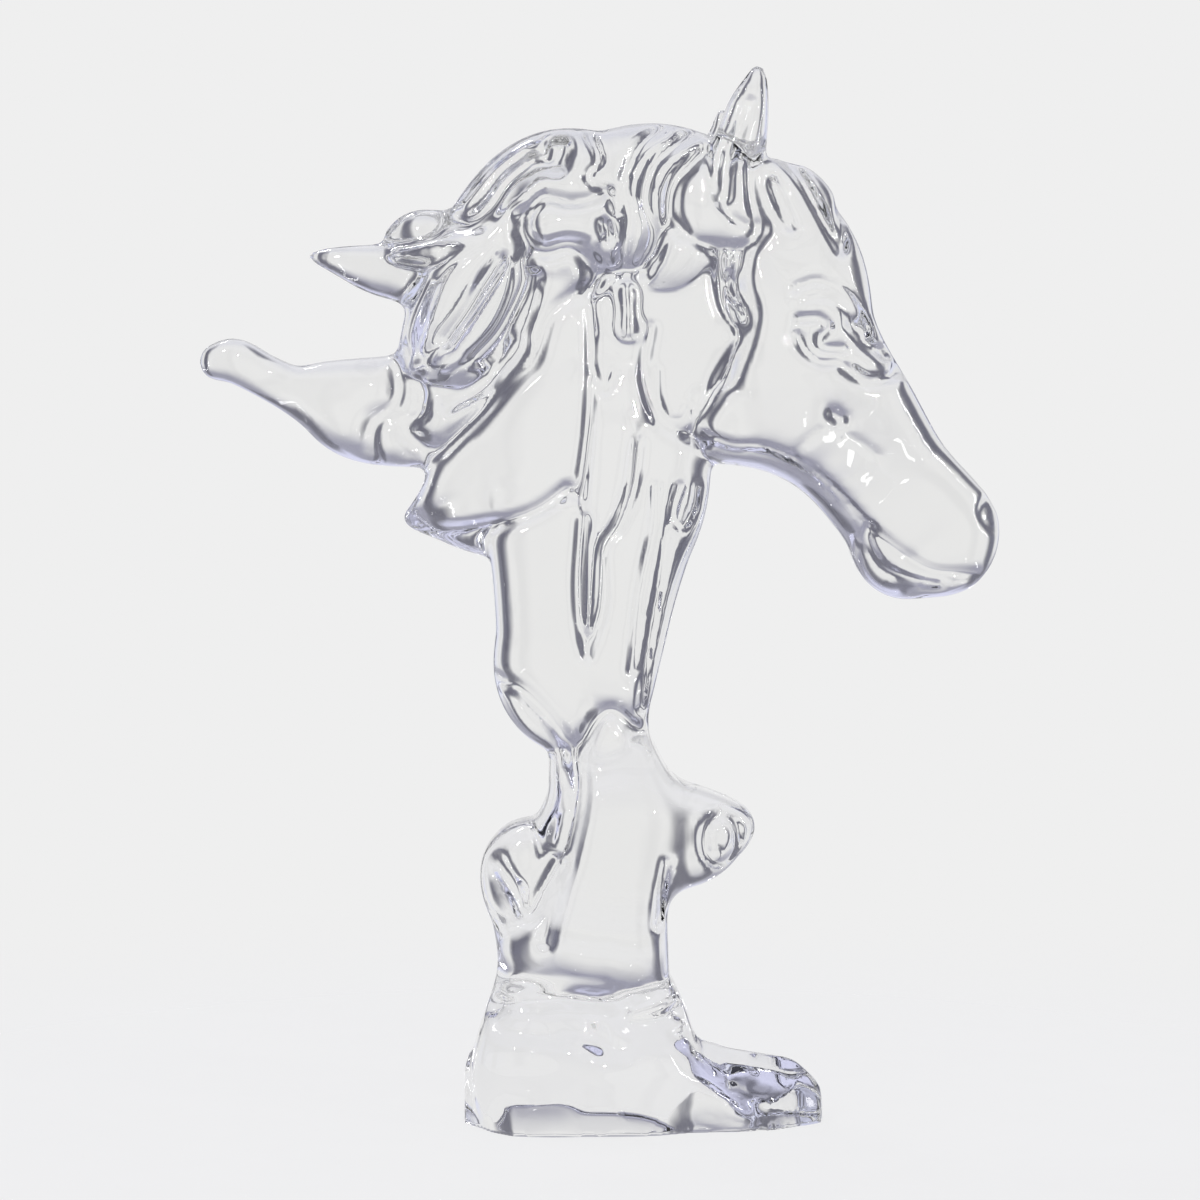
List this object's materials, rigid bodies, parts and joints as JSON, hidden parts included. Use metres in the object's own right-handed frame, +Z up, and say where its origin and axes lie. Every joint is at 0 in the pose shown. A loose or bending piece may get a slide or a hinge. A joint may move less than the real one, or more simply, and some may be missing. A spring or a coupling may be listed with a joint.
{
  "type": "horse head sculpture",
  "caption": "Clear resin horse head with streaming mane on a rough rock pedestal with a flat foot; an ornament that stands by its own weight.",
  "frame": {"origin": "middle of the bounding box, on the flat underside", "axes": "+Z up, +X the way the head looks, -Y the near flank shown in the picture"},
  "size_m": [0.3026, 0.0784, 0.4003],
  "materials": {
    "clear_resin": "polished clear cast resin"
  },
  "bodies": {
    "root": {"horse_head_sculpture": "clear_resin"}
  },
  "joints": []
}
